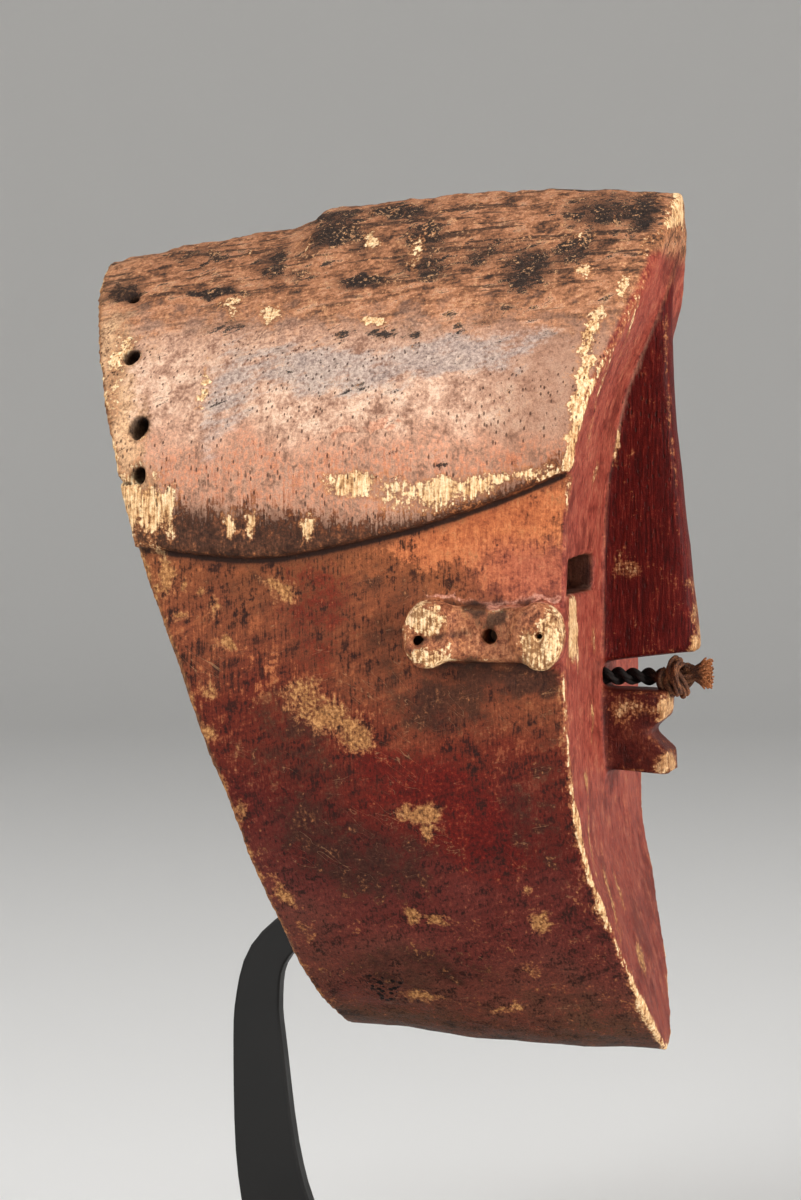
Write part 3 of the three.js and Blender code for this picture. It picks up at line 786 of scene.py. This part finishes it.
def capPaint(s, t):
    # Pink-tan in the middle, browner above, browner and darker in front, partly as painted shade, and paler
    # towards the rim
    cap = s.shades(t.tone, *maskPaints["cap"], spread=0.1)
    # Towards the front the cap is browner, and darker as painted shade
    front = s.rise(s.drifted(t.back, (t.ragged, 20)), 46, 10)
    cap = s.lay(cap, s.times(front, s.rise(t.ragged, 0.35, 0.6, 0.35, 0.75)), maskPaints["capFrontBrownShade"])
    crown = s.rise(s.drifted(t.height, (t.mottle, 60)), 250, 270)
    smeared = s.total((t.tone, 0.65), (t.smear, 0.35))
    cap = s.lay(cap, crown, maskPaints["crown"], smeared, 0.09)
    middle = s.within(s.drifted(t.height, (t.broad, 60)), 190, 220, 8)
    ruddy = s.times(middle, s.rise(t.ragged, 0.42, 0.58))
    cap = s.lay(cap, s.times(ruddy, 0.85), maskPaints["ruddy"], t.fine)
    # Painted sheen: a cool grey-blue gloss of reflected light over the cap's upper middle, its outline broken
    # up
    sheenBreakup = s.total((t.ragged, 0.5), (t.smear, 0.5))
    cap = s.lay(cap, s.torn(t.zone["paintedSheen"], sheenBreakup, 4, 0.3, 0.9, 0.7), maskPaints["paintedSheen"], t.fine)
    strip = s.rise(s.drifted(t.zone["toRim"], (t.mottle, 30), (t.fine, 10)), 17, 7)
    belowCrown = s.rise(s.drifted(t.height, (t.mottle, 30)), 272, 258, 0.1, 0.85)
    cap = s.lay(cap, s.times(strip, belowCrown), maskPaints["rimStrip"], t.frayed, 0.11)

    # Soot, in a thin veil and then in flecks, and dark streaks along the crown
    crownward = s.rise(t.height, 256, 285)
    sooty = s.total((t.zone["soot"], 0.6), (crownward, 0.14), (t.mottle, 1.7), (t.fine, 0.7), (t.smear, 1.4))
    cap = s.lay(cap, s.rise(sooty, 2.14, 2.56, 0, 0.55), maskPaints["thinSoot"], t.fine)
    flecked = s.total((sooty, 1), (s.offMiddle(t.smear), 1.6), (t.grit, -0.8))
    cap = s.lay(cap, s.rise(flecked, 2.06, 2.2, 0, 0.92), maskPaints["soot"], t.fine)
    upper = s.rise(s.drifted(t.height, (t.mottle, 40)), 248, 284, 0, 0.85)
    cap = s.lay(cap, s.times(s.rise(t.streak, 0.54, 0.61), upper), maskPaints["streaks"], t.fine)
    chipped = s.rise(s.total((t.fine, 0.6), (t.mottle, 0.4)), 0.555, 0.6)
    fleck = s.times(chipped, s.rise(t.height, 258, 272))
    cap = s.lay(cap, s.times(fleck, 0.75), maskPaints["flecks"], t.grit)

    # The charred band over the cap's lower edge, widest at the back
    char = s.total((t.zone["overCap"], -0.05), (s.rise(t.back, 55, 110), 0.6), (t.ragged, 2.6), (0.5, -1.7))
    return s.lay(cap, s.rise(char, 0.05, 0.36, 0, 0.96), maskPaints["char"], t.frayed)


def sidePaint(s, t):
    # Orange-brown under the cap, red in the middle, dull towards the chin
    backwards = s.math("MAXIMUM", t.back, 30)
    level = s.total((s.drifted(t.height, (t.broad, 70), (t.mottle, 30)), 1), (backwards, -0.18), (5.4, 1))
    stops = [(where, paint(*colour)) for where, colour in maskPaints["side"]]
    side = s.ramp(s.math("DIVIDE", level, maskPaints["sideHeight"]), stops)
    stain = s.total((t.mottle, 0.4), (t.grain, 0.4), (t.smear, 0.35), (t.fine, 0.2), (0.5, -0.35))
    side = s.lay(side, s.rise(stain, 0.5, 0.4, 0, 0.8), maskPaints["stain"])
    side = s.lay(side, s.rise(t.frayed, 0.45, 0.38, 0, 0.7), maskPaints["stain"])
    rub = s.lay(paint(*maskPaints["lowRub"]), s.rise(t.height, 80, 150), maskPaints["highRub"])
    side = s.mix(s.rise(stain, 0.52, 0.6, 0, 0.6), side, rub)
    warm = s.total((t.woody, 0.4), (t.tone, 0.6))
    side = s.lay(side, s.torn(t.zone["orange"], t.tone, 4, 0.3, 0.7, 0.9), maskPaints["amber"], warm)
    side = s.lay(side, s.torn(t.zone["red"], t.tone, 4, 0.3, 0.9, 0.8), maskPaints["red"], t.frayed)
    # Darker patches over the side, among them a band just under the ear
    side = s.lay(side, s.torn(t.zone["darkPatches"], t.tone, 5, 0.35, 0.9, 0.8), maskPaints["darkPatches"], t.fine)
    overEar = s.within(s.drifted(t.height, (t.mottle, 20)), 164, 186, 6)
    side = s.lay(side, s.times(overEar, s.rise(t.back, 44, 10, 0, 0.6)), maskPaints["blush"], t.tone)
    # Painted shade just under the cap's edge, stronger towards the back
    underShade = s.rise(s.drifted(t.zone["overCap"], (t.ragged, 16)), -5, 1, 0, 0.8)
    return s.lay(side, s.times(underShade, s.rise(t.back, 0, 50, 0.4, 1)), maskPaints["underCapShade"])


def facePaint(s, t, coat):
    flesh = s.shades(s.total((t.tone, 0.7), (t.grain, 0.3)), *maskPaints["face"])
    flesh = s.lay(flesh, s.rise(t.patchy, 0.5, 0.4, 0, 0.55), maskPaints["faceDirt"], t.fine)
    low = s.rise(s.drifted(t.height, (t.broad, 80)), 120, 40, 0, 0.4)
    coat = s.mix(t.zone["face"], coat, s.lay(flesh, low, maskPaints["lowFace"]))
    streaked = s.total((t.grain, 0.75), (t.mottle, 0.25))
    coat = s.lay(coat, t.zone["nose"], maskPaints["nose"], streaked, 0.15)
    mouth = s.times(t.zone["nose"], s.rise(t.height, 136, 132))
    return s.lay(coat, mouth, maskPaints["lips"], t.tone)


def worn(s, t, coat):
    # Wear down to the wood, and scratches
    arrises = s.total((t.zone["edge"], 1), (t.ragged, 2.6), (-1.3, 1))
    patches = s.total((t.zone["bare"], 1), (t.frayed, 2.8), (-1.4, 1))
    wear = s.most(arrises, patches)
    bared = s.rise(wear, 0.48, 0.66)
    coat = s.lay(coat, s.rise(wear, 0.2, 0.5, 0, 0.6), maskPaints["thinned"], t.fine)
    coat = s.mix(bared, coat, bareWood(s, t))
    make = woodTextures
    nicks = s.hairline(s.maskSpace(make["nickStretch"], make["nickTurn"]), make["scratchWidth"])
    nicks = s.times(nicks, s.rise(t.broad, 0.54, 0.6))
    scrapes = s.hairline(s.maskSpace(make["scrapeStretch"], make["scrapeTurn"]), make["scratchWidth"])
    scrapes = s.times(scrapes, s.rise(t.mottle, 0.53, 0.6))
    lines = s.times(s.most(nicks, scrapes), s.math("SUBTRACT", 1, t.zone["nose"]))
    return s.lay(coat, s.times(lines, 0.28), maskPaints["scratch"]), bared, lines


def pitted(s, t, coat):
    # Open pores and worm holes, the scar on the cap, and painted shade in the holes and the crevices
    opened = s.cells(s.maskSpace(woodTextures["poreStretch"]))
    pore = s.times(s.rise(opened, 0.24, 0.14), s.rise(t.patchy, 0.42, 0.5))
    pore = s.times(pore, s.rise(t.zone["overCap"], -60, 10, 0.35, 1))
    pore = s.times(pore, s.rise(t.height, 250, 268, 1, 0.25), s.rise(t.zone["orange"], 0.1, 0.6, 1, 0.2))
    bored = s.cells(t.place, woodTextures["wormHoles"])
    holes = s.times(s.rise(bored, 0.42, 0.34), s.rise(t.zone["wormed"], 0.5, 0.7))
    coat = s.lay(coat, s.times(pore, 0.75), maskPaints["pore"])
    coat = s.lay(coat, holes, maskPaints["wormHole"])
    coat = s.lay(coat, s.rise(t.zone["scar"], 0.35, 0.7, 0, 0.75), maskPaints["scar"], t.fine)
    coat = s.lay(coat, s.torn(t.zone["chalk"], t.fine, 1.5, 0.25, 1, 0.65), maskPaints["chalk"], t.fine)
    coat = s.lay(coat, s.torn(t.zone["dark"], t.ragged, 3, 0.5, 0.9, 0.85), maskPaints["dark"], t.fine)
    # Painted shade in the lacing holes and the eye slits
    coat = s.lay(coat, s.times(t.zone["holeShade"], 0.85), maskPaints["holeShade"])
    darker, even, lighter = (0.5, 0.48, 0.47, 1), (1, 1, 1, 1), (1.35, 1.35, 1.3, 1)
    speckle = s.ramp(s.total((t.grit, 0.6), (t.fine, 0.4)), [(0.36, darker), (0.5, even), (0.62, lighter)])
    coat = s.mix(0.6, coat, speckle, "MULTIPLY")
    return s.lay(coat, s.rise(t.zone["creviceShade"], 0.08, 0.8, 0, 0.85), maskPaints["creviceShade"]), pore, holes


def paintedWood():
    s = Sheet("painted_wood")
    t = WoodTextures(s)
    coat = s.mix(s.rise(t.zone["overCap"], -0.6, 0.4), sidePaint(s, t), capPaint(s, t))
    # Painted shadow: a thin dark line in the cut under the cap's lower edge
    ledgeShadow = s.math("ABSOLUTE", s.total((t.zone["overCap"], 1), (t.fine, 1.2), (0.5, 1)))
    coat = s.lay(coat, s.rise(ledgeShadow, 1.3, 0.4, 0, 0.85), maskPaints["ledgeShadow"])
    coat = facePaint(s, t, coat)
    coat = s.lay(coat, t.zone["ear"], maskPaints["ear"], t.ragged)
    coat = s.lay(coat, s.times(t.zone["rim"], 0.85), maskPaints["rim"], t.woody)
    hollowed = s.total((t.tone, 0.5), (t.grain, 0.5))
    coat = s.lay(coat, t.zone["inside"], maskPaints["hollow"], hollowed)
    coat, bared, lines = worn(s, t, coat)
    coat, pore, holes = pitted(s, t, coat)
    s.plug(coat, s.shader.inputs["Base Color"])

    # Satin paint, duller where it is worn, with the grain and the pits as relief
    gloss = s.total((t.zone["paintedSheen"], -0.1), (s.rise(t.height, 256, 276), 0.25), (t.fine, 0.35), (0.33, 1))
    s.plug(s.most(gloss, s.times(bared, 0.7)), s.shader.inputs["Roughness"])
    texture = s.total((t.grain, 0.5), (t.fine, 0.6), (t.grit, 0.25), (t.mottle, 0.8))
    pits = s.total((pore, -0.9), (holes, -3), (bared, -0.5), (lines, -0.4), (t.zone["scar"], 1.6))
    relief = s.bump(s.math("ADD", texture, pits), woodTextures["reliefDepth"], woodTextures["reliefStrength"])
    s.plug(relief, s.shader.inputs["Normal"])
    s.shader.inputs["Specular IOR Level"].default_value = maskPaints["specular"]
    return s.material


mask = makeMask()
mask.data.materials.append(paintedWood())
print("mask painted")


# The bite cord and its knots

cordForm = {
    "diameter": 6.5,
    "route": [(0, y, 135.2) for y in (20, 16, 12, 8, 4, 0, -4, -8, -12, -16, -20, -24, -27)],
    "pitch": 11,
    "strands": 2,
    "yarns": 3,
    "points": 150,
    "yarnRadius": 0.14,
}
knotForm = {
    "strands": 3,
    "yarns": 3,
    "pitch": 30,
    "points": 170,
    "yarnRadius": 0.135,
    "stops": 24,
    "drawnIn": 0.06,
    "tallness": 1.1,
    "sway": 0.9,
    "swayTurns": 2.3,
    "outer": {"centre": (0, -26.6, 134.8), "reach": 4.9, "length": 8.5, "turns": 1.9, "start": 2.4},
    "outerDiameter": 6,
    "tail": [(0, -28, 134.5), (0.4, -30, 135.4), (0.2, -31.8, 136.2), (0, -34, 137)],
    "inner": {"centre": (0, 19.6, 134.6), "reach": 4.2, "length": 6.5, "turns": 1.9, "start": 0.9},
    "innerDiameter": 5.2,
}
frayForm = {"start": (0, -32.4, 136.6), "length": 7.2, "spread": 5.8, "count": 150, "radius": 0.35}
# Shares of the diameter at which the strands and their yarns lie, and the yarns' turns for one of the strands
layForm = {"strandOut": 0.25, "yarnOut": 0.13, "yarnTurns": 1.6}
cordPaints = {
    # Near-black, the cord in painted shade
    "shadedCord": [(4, 2, 2), (13, 7, 5), (34, 19, 13)],
    # Brown, with painted highlights in its lightest shades
    "litKnot": [(22, 10, 6), (88, 48, 26), (172, 112, 68)],
    "frayed": [(100, 52, 26), (172, 104, 56), (206, 142, 90)],
    "roughness": 0.8,
}


def tubeMesh(lines, radius, sides=8):
    # Each line is a list of points in mm; the tubes come back as one mesh
    data = bpy.data.curves.new("lines", "CURVE")
    data.dimensions = "3D"
    data.bevel_depth = radius * mm
    data.bevel_resolution = (sides - 4) // 2
    data.use_fill_caps = True
    for line in lines:
        spline = data.splines.new("POLY")
        spline.points.add(len(line) - 1)
        for point, place in zip(spline.points, line):
            point.co = (*toFrame(*place), 1)
    helper = bpy.data.objects.new("lines", data)
    bpy.context.scene.collection.objects.link(helper)
    mesh = bpy.data.meshes.new_from_object(helper.evaluated_get(bpy.context.evaluated_depsgraph_get()))
    bpy.data.objects.remove(helper)
    return mesh


def resample(route, count):
    line = curveThrough(route, 12)
    run = np.concatenate([[0], np.cumsum(np.linalg.norm(np.diff(line, axis=0), axis=1))])
    where = np.linspace(0, run[-1], count)
    return np.stack([np.interp(where, run, line[:, k]) for k in range(3)], 1), run[-1]


def twisted(form, route, diameter):
    # Strands laid round the route, each of yarns laid round the strand
    count, strands, yarns = form["points"], form["strands"], form["yarns"]
    line, length = resample(route, count)
    along = np.gradient(line, axis=0)
    along /= np.linalg.norm(along, axis=1)[:, None]
    side = np.empty_like(line)
    # Any direction but the route's own does to start from
    side[0] = np.cross(along[0], (0.3, 0.2, 0.93))
    for i in range(1, len(line)):
        side[i] = side[i - 1] - along[i] * (side[i - 1] @ along[i])
    side /= np.linalg.norm(side, axis=1)[:, None]
    up = np.cross(along, side)
    turn = np.linspace(0, 2 * math.pi * length / form["pitch"], count)
    lines = [line]
    for strand in range(strands):
        a = (turn + 2 * math.pi * strand / strands)[:, None]
        out = side * np.cos(a) + up * np.sin(a)
        centre = line + out * (diameter * layForm["strandOut"])
        for yarn in range(yarns):
            b = (-turn * layForm["yarnTurns"] + 2 * math.pi * yarn / yarns)[:, None]
            around = out * np.cos(b) + np.cross(along, out) * np.sin(b)
            lines.append(centre + around * (diameter * layForm["yarnOut"]))
    return lines


def fibre():
    s = Sheet("cord_fibre")
    place = s.maskSpace()
    fine = s.noise(place, 2.2, 4, 0.7)
    broad = s.noise(place, 0.3, 3, 0.6)
    back = s.add("SeparateXYZ", [place], 1)
    # The cord is painted near-black as painted shade from the inner knot through the mouth, and brown towards
    # the outer knot, its lightest shades painted highlights
    forward = s.rise(s.drifted(back, (broad, 8)), -16, -24)
    tail = s.times(s.rise(back, -34, -38), s.rise(broad, 0.35, 0.5))
    strand = s.shades(fine, *cordPaints["shadedCord"])
    strand = s.lay(strand, forward, cordPaints["litKnot"], s.total((fine, 0.6), (broad, 0.4)))
    s.plug(s.lay(strand, tail, cordPaints["frayed"], fine), s.shader.inputs["Base Color"])
    s.shader.inputs["Roughness"].default_value = cordPaints["roughness"]
    s.plug(s.bump(fine, 0.4), s.shader.inputs["Normal"])
    return s.material


cordFibre = fibre()


def makeCord():
    diameter = cordForm["diameter"]
    lines = twisted(cordForm, cordForm["route"], diameter)
    piece = newPiece("bite_cord_twisted", tubeMesh(lines, diameter * cordForm["yarnRadius"]))
    piece.data.materials.append(cordFibre)
    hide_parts("bite_cord")
    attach(piece, "root")
    return piece


def knotRoute(centre, reach, length, turns, start):
    # The cord's end wound round itself and drawn in at both ends
    route = []
    stops, drawnIn = knotForm["stops"], knotForm["drawnIn"]
    for i in range(stops + 1):
        t = i / stops
        a = start + 2 * math.pi * turns * t
        out = reach * math.sqrt(math.sin(math.pi * (drawnIn + (1 - 2 * drawnIn) * t)))
        sway = knotForm["sway"] * math.sin(knotForm["swayTurns"] * a)
        route.append((centre[0] + out * math.cos(a), centre[1] + length * (0.5 - t) + sway,
                      centre[2] + knotForm["tallness"] * out * math.sin(a)))
    return route


def makeKnot(name, node, routes, diameter, frayed=()):
    lines = []
    for route in routes:
        lines += twisted(knotForm, route, diameter)
    mesh = tubeMesh(lines, diameter * knotForm["yarnRadius"])
    piece = newPiece(name, mesh)
    if len(frayed):
        ends = tubeMesh(frayed, frayForm["radius"], 6)
        bm = bmesh.new()
        bm.from_mesh(mesh)
        bm.from_mesh(ends)
        bm.to_mesh(mesh)
        bm.free()
    mesh.materials.append(cordFibre)
    mesh.shade_smooth()
    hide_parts(node)
    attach(piece, "root")
    return piece


def frayedEnd(start, length, spread, count):
    # Single fibres that part from the tail's end
    goldenAngle = 2.399
    lines = []
    for i in range(count):
        a = i * goldenAngle
        out = math.sqrt((i + 0.5) / count)
        reach = -length * (0.8 + 0.2 * math.sin(i * 1.7))
        tip = Vector((math.cos(a) * out * spread * 0.75, reach, math.sin(a) * out * spread))
        root = Vector((math.cos(a) * out * 2, 0, math.sin(a) * out * 2))
        line = []
        for t in (0, 0.2, 0.4, 0.6, 0.8, 1):
            curl = Vector((math.sin(i * 3.1 + t * 3), 0, math.cos(i * 2.3 + t * 4))) * 0.5 * t
            line.append(tuple(Vector(start) + root.lerp(tip, t) + curl))
        lines.append(line)
    return lines


outerRoutes = [knotRoute(**knotForm["outer"]), knotForm["tail"]]
innerRoutes = [knotRoute(**knotForm["inner"])]
frayed = frayedEnd(frayForm["start"], frayForm["length"], frayForm["spread"], frayForm["count"])
cord = makeCord()
outerKnot = makeKnot("bite_cord_outer_knot_tied", "bite_cord_outer_knot", outerRoutes,
                     knotForm["outerDiameter"], frayed)
innerKnot = makeKnot("bite_cord_inner_knot_tied", "bite_cord_inner_knot", innerRoutes,
                     knotForm["innerDiameter"])
print("cord and knots made")


# The stand

steelFinish = {
    "shades": [(5, 5, 4), (10, 9, 8)],
    "roughness": (0.42, 0.56),
    "specular": 0.36,
    "fineScale": 900,
    "broadScale": 40,
}


def blackSteel():
    s = Sheet("black_steel")
    place = s.add("TexCoord", output=3)
    fine = s.noise(place, steelFinish["fineScale"], 3, 0.6)
    broad = s.noise(place, steelFinish["broadScale"], 4, 0.6)
    s.plug(s.shades(broad, *steelFinish["shades"], spread=0.15), s.shader.inputs["Base Color"])
    s.plug(s.rise(broad, 0.3, 0.7, *steelFinish["roughness"]), s.shader.inputs["Roughness"])
    s.plug(s.bump(fine, 0.05, 0.5), s.shader.inputs["Normal"])
    s.shader.inputs["Specular IOR Level"].default_value = steelFinish["specular"]
    return s.material


steel = blackSteel()
for standNode in ("stand_arm", "stand_foot"):
    nodes[standNode].data.materials.clear()
    nodes[standNode].data.materials.append(steel)
print("stand finished")


# The floor

def makeFloor():
    # A pale floor that sweeps up into a wall all round
    flat, sweep, top = studio["flatRadius"], studio["sweepRadius"], studio["wallHeight"]
    bm = bmesh.new()
    profile = [(0.0, 0.0), (flat, 0.0)]
    for i in range(1, studio["sweepSteps"] + 1):
        a = math.radians(90 * i / studio["sweepSteps"])
        profile.append((flat + sweep * math.sin(a), sweep - sweep * math.cos(a)))
    profile.append((flat + sweep, top))
    verts = [bm.verts.new((r, 0, z)) for r, z in profile]
    edges = [bm.edges.new(pair) for pair in zip(verts, verts[1:])]
    bmesh.ops.spin(bm, geom=verts + edges, axis=(0, 0, 1), cent=(0, 0, 0), dvec=(0, 0, 0),
                   angle=2 * math.pi, steps=studio["roundSteps"], use_merge=True)
    bmesh.ops.remove_doubles(bm, verts=bm.verts, dist=1e-5)
    bmesh.ops.recalc_face_normals(bm, faces=bm.faces)
    mesh = bpy.data.meshes.new("floor")
    bm.to_mesh(mesh)
    bm.free()
    floor = newPiece("floor", mesh)
    s = Sheet("floor")
    s.shader.inputs["Base Color"].default_value = (*studio["backdrop"], 1)
    s.shader.inputs["Roughness"].default_value = studio["floorRoughness"]
    mesh.materials.append(s.material)


makeFloor()
